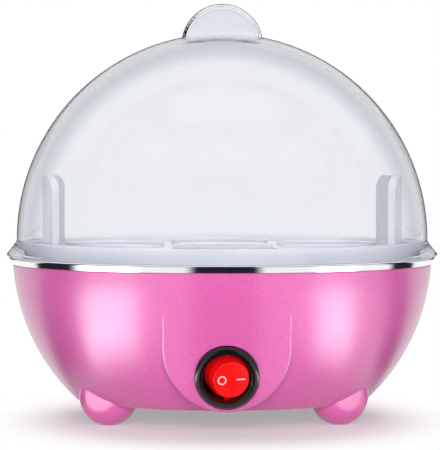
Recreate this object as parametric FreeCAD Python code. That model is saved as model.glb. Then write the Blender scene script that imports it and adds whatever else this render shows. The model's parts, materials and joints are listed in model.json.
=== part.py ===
import FreeCAD, Part
import math
import os

# Egg cooker: a clear dome over an egg tray, a steel water dish and a round heated base.
# Millimetres. The origin is on the table under the middle of the bowl, +Z is up and the
# switch faces -Y.

# Feet and bowl
FOOT_R = 11.5             # feet, rounded discs on edge, moulded with the bowl
FOOT_T = 14.0             # thickness of a foot from front to back
FOOT_ROUND = 6.5          # rounding of its edge
FOOT_FLAT = 0.3           # depth of the flat that each foot stands on
FOOT_X = 43.2             # feet stand at plus and minus this along X
FOOT_Y = 31.0             # and this along Y
FOOT_TURN = 30.0          # degrees that each foot is turned to follow the bowl's edge
BASE_Z = 7.5              # underside of the bowl above the table
BASE_R = 56.2             # radius of the flat underside
BASE_ROUND = 1.2          # rounding of the underside's edge
SHOULDER_R = 80.2         # outer radius of the bowl just under the steel band
SHOULDER_Z = 58.7         # height of that shoulder
BOWL_ARC_R = 77.07        # radius of the arc between underside and shoulder
BODY_WALL = 2.5           # wall of the bowl, its feet and its front panel

# Raised front panel, a leaning U that fades into the bowl near its top
PANEL_LEAN = 11.1         # degrees from upright
PANEL_SINK = 0.08         # how far the panel's cone passes inside the bowl where it fades out
PANEL_HALF_W = 23.4       # half the width, and the radius of the round lower end
PANEL_RISE = 0.9          # lowest point of the panel above the bowl's underside
PANEL_ROUND = 1.0         # rounding of the panel's edge

# Steel dish with its turned-down rim
DISH_SHEET = 0.8          # sheet thickness
HEM_GAP = 0.5             # gap between the turned-down edge and the bowl's shoulder
HEM_DROP = 2.9            # height of the visible band
HEM_OVERHANG = 1.6        # how far the rim stands out past the shoulder
HEM_TAPER = 0.9           # how far the band draws in towards its lower edge
HEM_ROUND = 0.9           # bend of the rim's outer edge
TONGUE_GAP = 0.4          # between the bowl's upstand and the turned-down edge
DISH_SIDE_GAP = 0.4       # between the dish's side and the bowl's upstand
SEAL_T = 0.8              # silicone ring under the dish's rim
DISH_DEPTH = 16.9         # from the rim's top to the dish's floor
DISH_FLOOR_R = 62.0       # radius of the dish's floor
DISH_CORNER = 6.0         # bend between floor and side
TRAY_LEDGE_DROP = 2.4     # from the rim's top to the ledge that carries the tray
TRAY_LEDGE_W = 5.0        # width of that ledge
BEND_R = 1.6              # other bends of the sheet

# Clear lid
LID_WALL = 1.8            # wall of the dome and of its grip
LIP_OVERHANG = 0.7        # how far the lip stands out past the steel rim
LIP_REACH = 3.7           # from the dome's wall out to the lip's edge
LIP_EDGE_T = 0.9          # thickness of the lip's edge
LIP_ROUND = 0.35          # rounding of the lip's edge
SKIRT_H = 6.3             # from the seat to where the dome starts to curve in
FLARE_FADE = 0.7          # upright part of the wall above the flare
CREASE_IN = 1.3           # crease in the flare, inwards from the lip's edge
CREASE_H = 2.5            # height of the crease above the seat
FLARE_ROUND = 2.0         # hollow between wall and flare
GRIP_R = 15.6             # fin-shaped grip, a round disc standing on edge
GRIP_T = 13.0             # thickness of the grip
GRIP_ROUND = 4.0          # rounding of the grip's edge
GRIP_SINK = 4.3           # middle of the grip below the top of the dome

# Egg tray
TRAY_WALL = 1.8           # wall of the tray
TRAY_SIDE_GAP = 0.6       # between the tray and the mouth of the dish
TRAY_RIM_H = 7.5          # height of the tray's rim above its ledge
TRAY_PLATE_H = 5.0        # top of the tray's plate above its ledge
TRAY_ROUND = 0.8          # rounding of the tray's rim
EGG_HOLE_R = 18.5         # round seats for the eggs
EGG_PITCH_R = 48.0        # ring of seats around the middle one
EGG_RING_COUNT = 6        # seats in that ring, the first at the front
SEAT_RING_W = 0.8         # raised ring around each seat
SEAT_RING_H = 1.5
SEAT_CHAMFER = 0.6        # bevel at the mouth of each seat
STEAM_HOLE_R = 3.0        # steam holes between the seats
EAR_INSET = 7.0           # from the tray's rim in to the outer face of an ear
EAR_T = 2.5               # thickness of a lifting ear
EAR_HALF_SPAN = 22.0      # degrees each side of the ear's middle
EAR_H = 28.0              # height of an ear above the plate
EAR_ROUND = 8.0           # upper corners of an ear
DRAIN_W = 1.8             # drain slots outside the ears
DRAIN_HALF_SPAN = 9.0     # degrees each side

# Underside of the base
COVER_R = 43.0            # round base cover
COVER_T = 2.2
COVER_GAP = 0.3           # around the cover
COVER_RECESS = 0.3        # cover sits this far inside the underside
COVER_ROUND = 0.5
BASE_OPENING_R = 31.0     # opening that the cover closes
BASE_LEDGE_T = 2.2        # ring that the cover sits against
BASE_LEDGE_LAP = 3.0      # how far that ring reaches past the cover
SCREW_INSET = 5.0         # cover screws inwards from the cover's edge
SCREW_COUNT = 3
SCREW_R = 1.45
SCREW_L = 10.0
SCREW_HEAD_R = 2.9
SCREW_HEAD_H = 1.7
BOSS_WALL = 2.1           # wall of a screw boss
BOSS_SPARE = 2.5          # boss above the screw's tip
SLOT_W = 0.7              # driver slots
SLOT_DEPTH = 0.7

# Studs that hold the dish down on the bowl's posts
STUD_R = 2.0
STUD_COUNT = 3
STUD_TURN = 60.0          # degrees, direction of the first post
STUD_FREE = 11.7          # stud between the dish and the top of its post
STUD_SPARE = 1.2          # thread past the nut
POST_BORE_R = 4.5         # room for nut and washer
POST_WALL = 1.8
POST_CAP_T = 3.0
NUT_R = 4.0               # across the corners
NUT_H = 3.2
WASHER_R = 4.1
WASHER_T = 0.8

# Heater under the dish
HEATER_R = 26.0           # ring of the sheathed element
TUBE_R = 3.3              # sheath
LEG_Y = 9.0               # the two straight legs lie at plus and minus this
LEG_BEND_R = 8.0          # bend between ring and leg
LEG_PAST = 8.0            # legs reach this far past the heat spreader
SEAL_BEAD_R = 2.6         # ceramic end beads
SEAL_BEAD_L = 3.0
PIN_R = 1.2
PIN_L = 8.0
SPREADER_T = 3.0          # aluminium plate between element and dish
SPREADER_MARGIN = 4.6     # plate past the element
SPREADER_CLEAR = 2.0      # between the plate and a stud
RETAINER_T = 1.2          # steel ring that presses the element up
RETAINER_MARGIN = 2.7     # ring past the element, outwards
RETAINER_IN_R = 17.0      # middle opening, around the thermostat
RETAINER_SCREW_R = 20.8   # circle of its screws
RETAINER_SCREWS = 3       # the first at the back
SMALL_SCREW_R = 1.5       # screws into the heat spreader
SMALL_HEAD_R = 2.6
SMALL_HEAD_H = 1.8
SMALL_BITE = 2.0          # thread inside the heat spreader

# Thermostat in the middle
CAP_R = 8.0
CAP_T = 2.0
STAT_R = 7.8
STAT_H = 9.0
FLANGE_T = 0.8
FLANGE_R = 10.0
FLANGE_EAR_Y = 12.0       # its two screw ears
FLANGE_EAR_R = 4.0
STAT_BLADE_REACH = 14.0   # ends of its blades from the middle
STAT_BLADE_IN = 3.0

# Flat blades, push-on connectors and wires
BLADE_W = 4.8
BLADE_T = 0.8
CONNECTOR_L = 10.0
CONNECTOR_W = 6.4
CONNECTOR_T = 3.4
BLADE_LAP = 6.0           # blade inside its connector
WIRE_R = 1.2
WIRE_BEND = 0.45          # share of the shorter run that a bend takes up
FUSE_R = 1.9              # thermal fuse
FUSE_L = 10.0
FUSE_SLEEVE_R = 2.7
FUSE_SLEEVE_L = 16.0
FUSE_RUN = 7.0            # wire between thermostat and fuse
LEAD_RUN = 10.0           # straight wire behind a switch connector
BLOCK_RUN = 12.0          # straight wire in front of the terminal block
CROSS_Y = 10.0            # two leads cross the base from this far in front of the middle
CROSS_BACK_Y = 14.0       # to this far behind it
CROSS_RISE = 9.5          # their height in front, above the base's ledge
CROSS_BACK_RISE = 6.5     # their height behind, above the same ledge
LINE_BOW = 4.0            # how far the line lead keeps to one side in front
LAMP_BOW = 2.0            # how far the lamp lead keeps to the other side behind
SWITCHED_TURN_R = 29.4    # circle that the switched lead follows to the thermostat
SWITCHED_FROM = 235.0     # degrees, where the lead joins that circle
SWITCHED_VIA = 203.0      # degrees, a point on its way
SWITCHED_DROP = 1.5       # start of that circle below the thermostat's blades
LEAD_WALL_GAP = 6.5       # between the two heater leads' outermost reach and the bowl
LEAD_TURN = 10.0          # length over which the fuse lead turns there
NEUTRAL_Y = 15.5          # path of the neutral lead beside the heater's leg
NEUTRAL_DROP = 6.35       # its depth below the heater's leg, before it turns up to the pin

# Rocker switch
SWITCH_MARGIN = 1.1       # between the bezel and the panel's lower end
BEZEL_R = 11.85
BEZEL_T = 2.8
BEZEL_ROUND = 2.2
BEZEL_LIP = 0.4           # bevel of the bezel's mouth
SEAT_FACE_GAP = 0.25      # flat seat around the bezel
BARREL_R = 10.0
BARREL_L = 14.0
BARREL_WALL = 1.2
BARREL_BACK = 2.0
BARREL_GAP = 0.1          # barrel in its hole
CATCH_H = 1.2             # snap catches behind the panel
CATCH_L = 5.0
CATCH_W = 5.0
CATCH_GAP = 0.3           # between catch and panel
PIVOT_IN = 3.0            # rocker axis behind the bezel's seat
ROCKER_R = 7.5            # rocker around its axis
ROCKER_FACE_R = 6.6       # its smaller face
ROCKER_FACE = 6.8         # face in front of the axis
ROCKER_TAPER = 3.3        # start of the taper in front of the axis
ROCKER_BACK = 3.0         # rocker's skirt behind its axis
ROCKER_WALL = 1.3
ROCKER_FACE_T = 1.8
ROCKER_ROUND = 0.5
ROCKER_TILT = 13.0        # degrees each side of level
TRUNNION_R = 1.2
TRUNNION_END_GAP = 0.3    # trunnion ends inside the barrel's outside
RUN_GAP = 0.05            # running clearance of pins and plungers
LEGEND_DEPTH = 0.4        # white O and bar let into the rocker's face
LEGEND_X = 3.5            # distance of both from the middle
LEGEND_RING_R = 1.4
LEGEND_STROKE = 0.42
LEGEND_BAR_L = 3.2
LEGEND_GAP = 0.02
PLUNGER_R = 1.2
PLUNGER_TUBE_WALL = 0.9
PLUNGER_TIP = 6.8         # plunger's tip behind the rocker's axis
PLUNGER_L = 5.2
SPRING_WALL = 0.35
LAMP_R = 1.3
LAMP_L = 5.0
LAMP_X = 4.2
LAMP_GAP = 0.2            # between lamp and rocker face
ARM_L = 10.0              # tipping contact arm
ARM_W = 3.2
ARM_T = 0.6
ARM_IN = 7.5              # arm's axis behind the rocker's axis
ARM_TILT = 6.0            # degrees each side of level
KNUCKLE_R = 0.55          # round fulcrum of the arm, on its axis
ARM_GAP = 0.15            # between the fulcrum and the middle blade
SIDE_BLADE_GAP = 0.9      # between a level arm and the side blades
TERMINAL_X = 5.0
TERMINAL_OUT = 8.0        # blades behind the switch

# Cord gland at the back and terminal block behind it
GLAND_RISE = 12.2         # gland's axis above the bowl's underside
GLAND_BORE_R = 3.4        # takes a round mains cord
GLAND_WALL = 2.0
GLAND_GAP = 0.1
GLAND_BOSS_WALL = 3.0
GLAND_BOSS_OUT = 2.8      # boss past the bowl's outside
GLAND_BOSS_IN = 8.0       # boss past the bowl's inside
GLAND_FLANGE_R = 8.0
GLAND_FLANGE_T = 2.0
GLAND_ROUND = 0.6
GLAND_NUT_R = 8.2         # across the corners
GLAND_NUT_T = 3.5
GLAND_TAIL = 0.8          # gland past its nut
BLOCK_Y = 39.0            # middle of the terminal block
BLOCK_W = 22.0
BLOCK_D = 10.0
BLOCK_H = 10.0
BLOCK_PITCH = 7.0
BLOCK_ENTRY_H = 5.5       # wire entries above the block's foot
BLOCK_ENTRY_R = 1.5
BLOCK_ENTRY_DEPTH = 4.0
BLOCK_SCREW_R = 1.4
BLOCK_SCREW_L = 3.0

CLEAR = 0.05              # between fixed pieces that only touch

V = FreeCAD.Vector
ORIGIN = V(0, 0, 0)
X_AXIS = V(1, 0, 0)
Y_AXIS = V(0, 1, 0)
Z_AXIS = V(0, 0, 1)


# Values worked out from the sizes above

def arc_centre(low, high, radius):
    """Centre, on the inner side, of the arc of this radius through two (r, z) points."""
    run = high[0] - low[0]
    rise = high[1] - low[1]
    chord = math.hypot(run, rise)
    back = math.sqrt(radius ** 2 - (chord / 2) ** 2)
    return ((low[0] + high[0]) / 2 - back * rise / chord,
            (low[1] + high[1]) / 2 + back * run / chord)


BOWL_R0, BOWL_Z0 = arc_centre((BASE_R, BASE_Z), (SHOULDER_R, SHOULDER_Z), BOWL_ARC_R)
INNER_ARC_R = BOWL_ARC_R - BODY_WALL


def bowl_r(arc_r, z):
    """Radius of the bowl's outer or inner arc at a height."""
    return BOWL_R0 + math.sqrt(arc_r ** 2 - (BOWL_Z0 - z) ** 2)


FLOOR_Z = BASE_Z + BODY_WALL
FOOT_Z = FOOT_R - FOOT_FLAT
HEM_Z = SHOULDER_Z + HEM_GAP
SEAT_Z = HEM_Z + HEM_DROP
HEM_TOP_R = SHOULDER_R + HEM_OVERHANG
HEM_LOW_R = HEM_TOP_R - HEM_TAPER
TONGUE_OUT_R = HEM_LOW_R - DISH_SHEET - TONGUE_GAP
TONGUE_IN_R = bowl_r(INNER_ARC_R, SHOULDER_Z)
TONGUE_Z = SEAT_Z - DISH_SHEET - SEAL_T
MOUTH_R = TONGUE_IN_R - DISH_SIDE_GAP - DISH_SHEET
TRAY_LEDGE_Z = SEAT_Z - TRAY_LEDGE_DROP
TRAY_LEDGE_R = MOUTH_R - TRAY_LEDGE_W
DISH_FLOOR_Z = SEAT_Z - DISH_DEPTH
DISH_UNDER_Z = DISH_FLOOR_Z - DISH_SHEET

LIP_R = HEM_TOP_R + LIP_OVERHANG
DOME_R = LIP_R - LIP_REACH
DOME_Z = SEAT_Z + SKIRT_H
CROWN_Z = DOME_Z + DOME_R
GRIP_Z = CROWN_Z - GRIP_SINK

TRAY_R = MOUTH_R - TRAY_SIDE_GAP
TRAY_PLATE_Z = TRAY_LEDGE_Z + TRAY_PLATE_H
EAR_R = TRAY_R - EAR_INSET

LEAN_TAN = math.tan(math.radians(PANEL_LEAN))
LEAN_COS = math.cos(math.radians(PANEL_LEAN))
LEAN_SIN = math.sin(math.radians(PANEL_LEAN))
PANEL_FADE_Z = BOWL_Z0 - BOWL_ARC_R * LEAN_SIN
PANEL_FADE_R = BOWL_R0 + BOWL_ARC_R * LEAN_COS - PANEL_SINK
PANEL_LOW_Z = BASE_Z + PANEL_RISE
PANEL_ROUND_Z = PANEL_LOW_Z + PANEL_HALF_W


def panel_r(z):
    """Radius of the panel's outer cone at a height."""
    return PANEL_FADE_R - LEAN_TAN * (PANEL_FADE_Z - z)


SWITCH_Z = PANEL_LOW_Z + SWITCH_MARGIN + BEZEL_R * LEAN_COS
SEAT_FACE_R = BEZEL_R + SEAT_FACE_GAP
SEAT_FACE_DEPTH = BEZEL_R ** 2 / (2 * panel_r(SWITCH_Z))
SWITCH_AT = V(0, -panel_r(SWITCH_Z) + SEAT_FACE_DEPTH * LEAN_COS, SWITCH_Z + SEAT_FACE_DEPTH * LEAN_SIN)
CAVITY_R = BARREL_R - BARREL_WALL
ARM_Y = PIVOT_IN + ARM_IN

RECESS_Z = BASE_Z + COVER_RECESS
COVER_TOP_Z = RECESS_Z + COVER_T
LEDGE_TOP_Z = COVER_TOP_Z + BASE_LEDGE_T
SCREW_CIRCLE_R = COVER_R - SCREW_INSET
SCREW_TIP_Z = RECESS_Z + SCREW_L
BOSS_R = SCREW_R + BOSS_WALL

SPREADER_R = HEATER_R + TUBE_R + SPREADER_MARGIN
SPREADER_Z = DISH_UNDER_Z - SPREADER_T
HEATER_Z = SPREADER_Z - CLEAR - TUBE_R
LEG_END_X = SPREADER_R + LEG_PAST
RETAINER_Z = HEATER_Z - TUBE_R - CLEAR - RETAINER_T
STUD_CIRCLE_R = SPREADER_R + SPREADER_CLEAR + STUD_R
POST_R = POST_BORE_R + POST_WALL
POST_TOP_Z = DISH_UNDER_Z - STUD_FREE
POST_ROOF_Z = POST_TOP_Z - POST_CAP_T
WASHER_Z = POST_ROOF_Z - WASHER_T
NUT_Z = WASHER_Z - NUT_H

CAP_Z = SPREADER_Z - CAP_T
STAT_Z = CAP_Z - STAT_H
STAT_BLADE_Z = STAT_Z - BLADE_T / 2
STAT_LEAD_X = STAT_BLADE_REACH - BLADE_LAP + CONNECTOR_L

CROSS_Z = LEDGE_TOP_Z + CROSS_RISE
CROSS_BACK_Z = LEDGE_TOP_Z + CROSS_BACK_RISE
NEUTRAL_Z = HEATER_Z - NEUTRAL_DROP
LEAD_TURN_X = bowl_r(INNER_ARC_R, NEUTRAL_Z) - LEAD_WALL_GAP

GLAND_Z = BASE_Z + GLAND_RISE
GLAND_BARREL_R = GLAND_BORE_R + GLAND_WALL
GLAND_HOLE_R = GLAND_BARREL_R + GLAND_GAP
GLAND_BOSS_R = GLAND_HOLE_R + GLAND_BOSS_WALL
GLAND_OUT_Y = bowl_r(BOWL_ARC_R, GLAND_Z) + GLAND_BOSS_OUT
GLAND_IN_Y = bowl_r(INNER_ARC_R, GLAND_Z) - GLAND_BOSS_IN
GLAND_TAIL_Y = GLAND_IN_Y - GLAND_NUT_T - GLAND_TAIL
BLOCK_FRONT_Y = BLOCK_Y - BLOCK_D / 2
BLOCK_ENTRY_Z = LEDGE_TOP_Z + BLOCK_ENTRY_H

SCREW_ANGLES = [360.0 * i / SCREW_COUNT for i in range(SCREW_COUNT)]
STUD_ANGLES = [STUD_TURN + 360.0 * i / STUD_COUNT for i in range(STUD_COUNT)]
EGG_ANGLES = [-90.0 + 360.0 * i / EGG_RING_COUNT for i in range(EGG_RING_COUNT)]
GAP_ANGLES = [angle + 180.0 / EGG_RING_COUNT for angle in EGG_ANGLES]


# Shape helpers

def polar(radius, degrees, z=0.0):
    return V(radius * math.cos(math.radians(degrees)), radius * math.sin(math.radians(degrees)), z)


def rounded_wire(points, radii):
    """Closed wire through points, with a tangent arc at each corner that has a radius."""
    count = len(points)
    stops = []
    for i, here in enumerate(points):
        if not radii[i]:
            stops.append((here, None, here))
            continue
        back = (points[i - 1] - here).normalize()
        ahead = (points[(i + 1) % count] - here).normalize()
        half = back.getAngle(ahead) / 2
        reach = radii[i] / math.tan(half)
        inward = (back + ahead).normalize()
        middle = here + inward * (radii[i] / math.sin(half) - radii[i])
        stops.append((here + back * reach, middle, here + ahead * reach))
    edges = []
    for i, (start, middle, end) in enumerate(stops):
        following = stops[(i + 1) % count][0]
        if middle:
            edges.append(Part.Arc(start, middle, end).toShape())
        edges.append(Part.LineSegment(end, following).toShape())
    return Part.Wire(edges)


def spun(corners):
    """Solid of revolution about Z; each corner is (r, z) or (r, z, rounding)."""
    points = [V(corner[0], 0, corner[1]) for corner in corners]
    radii = [corner[2] if len(corner) > 2 else 0 for corner in corners]
    return Part.Face(rounded_wire(points, radii)).revolve(ORIGIN, Z_AXIS, 360)


def bent_sheet(path, thickness):
    """Corners of a bent sheet: a path of (r, z, bend) and its right-hand side, a thickness away."""
    points = [V(r, z, 0) for r, z, bend in path]
    runs = [(b - a).normalize() for a, b in zip(points, points[1:])]
    rights = [V(run.y, -run.x, 0) for run in runs]
    far = []
    for i, (r, z, bend) in enumerate(path):
        before = rights[max(i - 1, 0)]
        after = rights[min(i, len(rights) - 1)]
        moved = points[i] + (before + after) * (thickness / (1 + before.dot(after)))
        turn = runs[max(i - 1, 0)].cross(runs[min(i, len(runs) - 1)]).z
        far_bend = bend + thickness if turn > 0 else max(bend - thickness, 0)
        far.append((moved.x, moved.y, far_bend if bend else 0))
    return path + far[::-1]


def disc(radius, low, high, at=ORIGIN):
    """Upright cylinder between two heights."""
    return Part.makeCylinder(radius, high - low, V(at.x, at.y, low))


def ring(inner, outer, low, high, at=ORIGIN):
    return disc(outer, low, high, at).cut(disc(inner, low, high, at))


def rod(radius, start, end):
    """Cylinder between two points."""
    return Part.makeCylinder(radius, (end - start).Length, start, end - start)


def box(low, high):
    size = high - low
    return Part.makeBox(size.x, size.y, size.z, low)


def hexagon(radius, low, high, at=ORIGIN):
    points = [V(at.x, at.y, low) + polar(radius, 60.0 * i) for i in range(6)]
    return Part.Face(Part.makePolygon(points + points[:1])).extrude(V(0, 0, high - low))


def joined(shapes):
    whole = shapes[0].fuse(shapes[1:])
    return whole.removeSplitter()


def circles_at(shape, radius, coordinate, value):
    """Round edges of a shape with this radius, whose middle lies at a value of x, y or z."""
    found = []
    for edge in shape.Edges:
        curve = edge.Curve
        if isinstance(curve, Part.Circle) and abs(curve.Radius - radius) < 1e-6:
            if abs(getattr(curve.Center, coordinate) - value) < 1e-6:
                found.append(edge)
    return found


def soften(shape, radius, edge_radius, coordinate, value):
    return shape.makeFillet(radius, circles_at(shape, edge_radius, coordinate, value))


def edge_disc(radius, half, rounding, at):
    """Disc standing on edge along Y about a point, half its thickness each way, its edge rounded."""
    plain = rod(radius, at - Y_AXIS * half, at + Y_AXIS * half)
    edges = circles_at(plain, radius, "y", at.y - half) + circles_at(plain, radius, "y", at.y + half)
    return plain.makeFillet(rounding, edges)


def wire_path(points):
    """Straight runs joined by tangent arcs as large as the two runs allow."""
    stops = [(points[0], None, points[0])]
    for before, here, after in zip(points, points[1:], points[2:]):
        back = before - here
        ahead = after - here
        half = back.getAngle(ahead) / 2
        reach = WIRE_BEND * min(back.Length, ahead.Length)
        radius = reach * math.tan(half)
        back = back.normalize()
        ahead = ahead.normalize()
        inward = (back + ahead).normalize()
        middle = here + inward * (radius / math.sin(half) - radius)
        stops.append((here + back * reach, middle, here + ahead * reach))
    stops.append((points[-1], None, points[-1]))
    edges = []
    for (start, middle, end), following in zip(stops, stops[1:]):
        if middle:
            edges.append(Part.Arc(start, middle, end).toShape())
        edges.append(Part.LineSegment(end, following[0]).toShape())
    return Part.Wire(edges)


def tube(points, radius):
    section = Part.Wire(Part.Circle(points[0], points[1] - points[0], radius).toShape())
    return wire_path(points).makePipeShell([section], True, False)


# Base

def bowl_solid(arc_r, low, high):
    """Solid bowl under one of the arcs, from one height to another."""
    middle = (low + high) / 2
    low_point = V(bowl_r(arc_r, low), 0, low)
    high_point = V(bowl_r(arc_r, high), 0, high)
    side = Part.Arc(low_point, V(bowl_r(arc_r, middle), 0, middle), high_point).toShape()
    corners = [high_point, V(0, 0, high), V(0, 0, low), low_point]
    rest = [Part.LineSegment(a, b).toShape() for a, b in zip(corners, corners[1:])]
    return Part.Face(Part.Wire([side] + rest)).revolve(ORIGIN, Z_AXIS, 360)


def feet(inset):
    """The four feet, drawn in all round by a wall."""
    made = []
    for side, end in ((-1, -1), (-1, 1), (1, -1), (1, 1)):
        at = V(side * FOOT_X, end * FOOT_Y, FOOT_Z)
        foot = edge_disc(FOOT_R - inset, FOOT_T / 2 - inset, FOOT_ROUND - inset, at)
        foot.rotate(at, Z_AXIS, -side * end * FOOT_TURN)
        made.append(foot)
    return made


def panel_solid(inset):
    """U-shaped block under the panel's cone, drawn in all round by a wall."""
    half = PANEL_HALF_W - inset
    upper = box(V(-half, -SHOULDER_R, PANEL_ROUND_Z), V(half, -BASE_OPENING_R, PANEL_FADE_Z))
    lower = rod(half, V(0, -SHOULDER_R, PANEL_ROUND_Z), V(0, -BASE_OPENING_R, PANEL_ROUND_Z))
    drawn_in = inset / LEAN_COS
    cone = Part.makeCone(panel_r(0) - drawn_in, PANEL_FADE_R - drawn_in, PANEL_FADE_Z)
    return joined([upper, lower]).common(cone)


def panel_block():
    """Outer panel with its front edge rounded, up to where it runs inside the bowl."""
    block = panel_solid(0)
    front = []
    for edge in block.Edges:
        middle = edge.valueAt((edge.FirstParameter + edge.LastParameter) / 2)
        on_cone = abs(math.hypot(middle.x, middle.y) - panel_r(middle.z)) < 0.01
        below_top = middle.z < PANEL_FADE_Z - 0.01
        if on_cone and below_top:
            front.append(edge)
    return block.makeFillet(PANEL_ROUND, front)


def in_switch(shape):
    """Place a shape of the switch: its own -Y points out of the leaning panel."""
    shape.rotate(ORIGIN, X_AXIS, PANEL_LEAN)
    shape.translate(SWITCH_AT)
    return shape


def body_shell():
    bowl = bowl_solid(BOWL_ARC_R, BASE_Z, SHOULDER_Z)
    bowl = soften(bowl, BASE_ROUND, BASE_R, "z", BASE_Z)
    tongue = disc(TONGUE_OUT_R, SHOULDER_Z, TONGUE_Z)
    gland_boss = rod(GLAND_BOSS_R, V(0, GLAND_IN_Y, GLAND_Z), V(0, GLAND_OUT_Y, GLAND_Z))
    outer = joined([bowl, tongue, panel_block()] + feet(0))

    hollow = joined([bowl_solid(INNER_ARC_R, FLOOR_Z, SHOULDER_Z), panel_solid(BODY_WALL)] + feet(BODY_WALL))
    mouth = disc(TONGUE_IN_R, SHOULDER_Z, SEAT_Z)
    shell = outer.cut([hollow, mouth])

    ledge = disc(COVER_R + COVER_GAP + BASE_LEDGE_LAP, FLOOR_Z, LEDGE_TOP_Z)
    inner_ledge = disc(COVER_R + COVER_GAP, COVER_TOP_Z, LEDGE_TOP_Z)
    added = [ledge, inner_ledge, gland_boss]
    cuts = [disc(COVER_R + COVER_GAP, 0, COVER_TOP_Z), disc(BASE_OPENING_R, 0, LEDGE_TOP_Z)]
    for angle in SCREW_ANGLES:
        at = polar(SCREW_CIRCLE_R, angle)
        added.append(disc(BOSS_R, LEDGE_TOP_Z, SCREW_TIP_Z + BOSS_SPARE, at))
        cuts.append(disc(SCREW_R + CLEAR, COVER_TOP_Z, SCREW_TIP_Z + CLEAR, at))
    for angle in STUD_ANGLES:
        at = polar(STUD_CIRCLE_R, angle)
        added.append(disc(POST_R, LEDGE_TOP_Z, POST_TOP_Z, at))
        cuts.append(disc(POST_BORE_R, COVER_TOP_Z, POST_ROOF_Z, at))
        cuts.append(disc(STUD_R + CLEAR, POST_ROOF_Z, POST_TOP_Z, at))
    cuts.append(rod(GLAND_HOLE_R, V(0, GLAND_IN_Y, GLAND_Z), V(0, GLAND_OUT_Y, GLAND_Z)))
    cuts.append(rod(GLAND_FLANGE_R + GLAND_GAP, V(0, GLAND_OUT_Y, GLAND_Z), V(0, SHOULDER_R, GLAND_Z)))
    cuts.append(in_switch(rod(BARREL_R + BARREL_GAP, V(0, -BODY_WALL, 0), V(0, BARREL_L, 0))))
    cuts.append(in_switch(rod(SEAT_FACE_R, V(0, -BEZEL_R, 0), V(0, 0, 0))))
    cuts.append(disc(SHOULDER_R, -FOOT_R, 0))
    return joined([shell] + added).cut(cuts).removeSplitter()


def base_cover():
    cover = disc(COVER_R, RECESS_Z, COVER_TOP_Z)
    cover = soften(cover, COVER_ROUND, COVER_R, "z", RECESS_Z)
    holes = []
    for angle in SCREW_ANGLES:
        at = polar(SCREW_CIRCLE_R, angle)
        holes.append(disc(SCREW_R + CLEAR, RECESS_Z, COVER_TOP_Z, at))
        sink = Part.makeCone(SCREW_HEAD_R + CLEAR, SCREW_R + CLEAR, SCREW_HEAD_H, V(at.x, at.y, RECESS_Z))
        holes.append(sink)
    return cover.cut(holes)


def cover_screws():
    screws = []
    for angle in SCREW_ANGLES:
        at = polar(SCREW_CIRCLE_R, angle)
        head = Part.makeCone(SCREW_HEAD_R, SCREW_R, SCREW_HEAD_H, V(at.x, at.y, RECESS_Z))
        shank = disc(SCREW_R, RECESS_Z, SCREW_TIP_Z, at)
        screw = joined([head, shank])
        half = V(SCREW_HEAD_R, SLOT_W / 2, 0)
        for size in (half, V(half.y, half.x, 0)):
            low = at - size + V(0, 0, RECESS_Z)
            screw = screw.cut(box(low, at + size + V(0, 0, RECESS_Z + SLOT_DEPTH)))
        screws.append(screw)
    return Part.makeCompound(screws)


def rim_seal():
    """Silicone ring with a flat top between the bowl's upstand and the dish's rim."""
    return ring(TONGUE_IN_R, TONGUE_OUT_R, TONGUE_Z, TONGUE_Z + SEAL_T)


# Dish and tray

def heating_dish():
    path = [(0, DISH_FLOOR_Z, 0),
            (DISH_FLOOR_R, DISH_FLOOR_Z, DISH_CORNER),
            (TRAY_LEDGE_R, TRAY_LEDGE_Z, BEND_R),
            (MOUTH_R, TRAY_LEDGE_Z, DISH_SHEET / 2),
            (MOUTH_R, SEAT_Z, DISH_SHEET),
            (HEM_TOP_R, SEAT_Z, HEM_ROUND),
            (HEM_LOW_R, HEM_Z, 0)]
    return spun(bent_sheet(path, DISH_SHEET))


def egg_tray():
    plate_under = TRAY_PLATE_Z - TRAY_WALL
    rim_in_r = TRAY_R - TRAY_WALL
    rim_top = TRAY_LEDGE_Z + TRAY_RIM_H
    tray = spun([(0, plate_under), (rim_in_r, plate_under), (rim_in_r, TRAY_LEDGE_Z),
                 (TRAY_R, TRAY_LEDGE_Z), (TRAY_R, rim_top, TRAY_ROUND),
                 (rim_in_r, rim_top, TRAY_ROUND), (rim_in_r, TRAY_PLATE_Z, TRAY_ROUND),
                 (0, TRAY_PLATE_Z)])
    seats = [ORIGIN] + [polar(EGG_PITCH_R, angle) for angle in EGG_ANGLES]
    ring_top = TRAY_PLATE_Z + SEAT_RING_H
    rings = [disc(EGG_HOLE_R + SEAT_RING_W, TRAY_PLATE_Z, ring_top, at) for at in seats]
    tray = joined([tray] + rings + [tray_ear(0.0), tray_ear(180.0)])
    holes = [disc(EGG_HOLE_R, plate_under, ring_top, at) for at in seats]
    for at in seats:
        mouth = V(at.x, at.y, ring_top - SEAT_CHAMFER)
        holes.append(Part.makeCone(EGG_HOLE_R, EGG_HOLE_R + SEAT_CHAMFER, SEAT_CHAMFER, mouth))
    inner_gap_r = EGG_PITCH_R / math.sqrt(3)
    outer_gap_r = EAR_R - EAR_T - 2 * STEAM_HOLE_R
    for angle in GAP_ANGLES:
        for radius in (inner_gap_r, outer_gap_r):
            holes.append(disc(STEAM_HOLE_R, plate_under, TRAY_PLATE_Z, polar(radius, angle)))
    drain_r = (EAR_R + rim_in_r) / 2
    for angle in (0.0, 180.0):
        holes.append(sector(drain_r - DRAIN_W / 2, drain_r + DRAIN_W / 2, angle, DRAIN_HALF_SPAN,
                            plate_under, TRAY_PLATE_Z))
    return tray.cut(holes)


def sector(inner, outer, middle, half_span, low, high):
    """Piece of an upright ring, half_span degrees each side of a direction."""
    face = Part.makePolygon([V(inner, 0, low), V(outer, 0, low), V(outer, 0, high),
                             V(inner, 0, high), V(inner, 0, low)])
    piece = Part.Face(face).revolve(ORIGIN, Z_AXIS, 2 * half_span)
    piece.rotate(ORIGIN, Z_AXIS, middle - half_span)
    return piece


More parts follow.
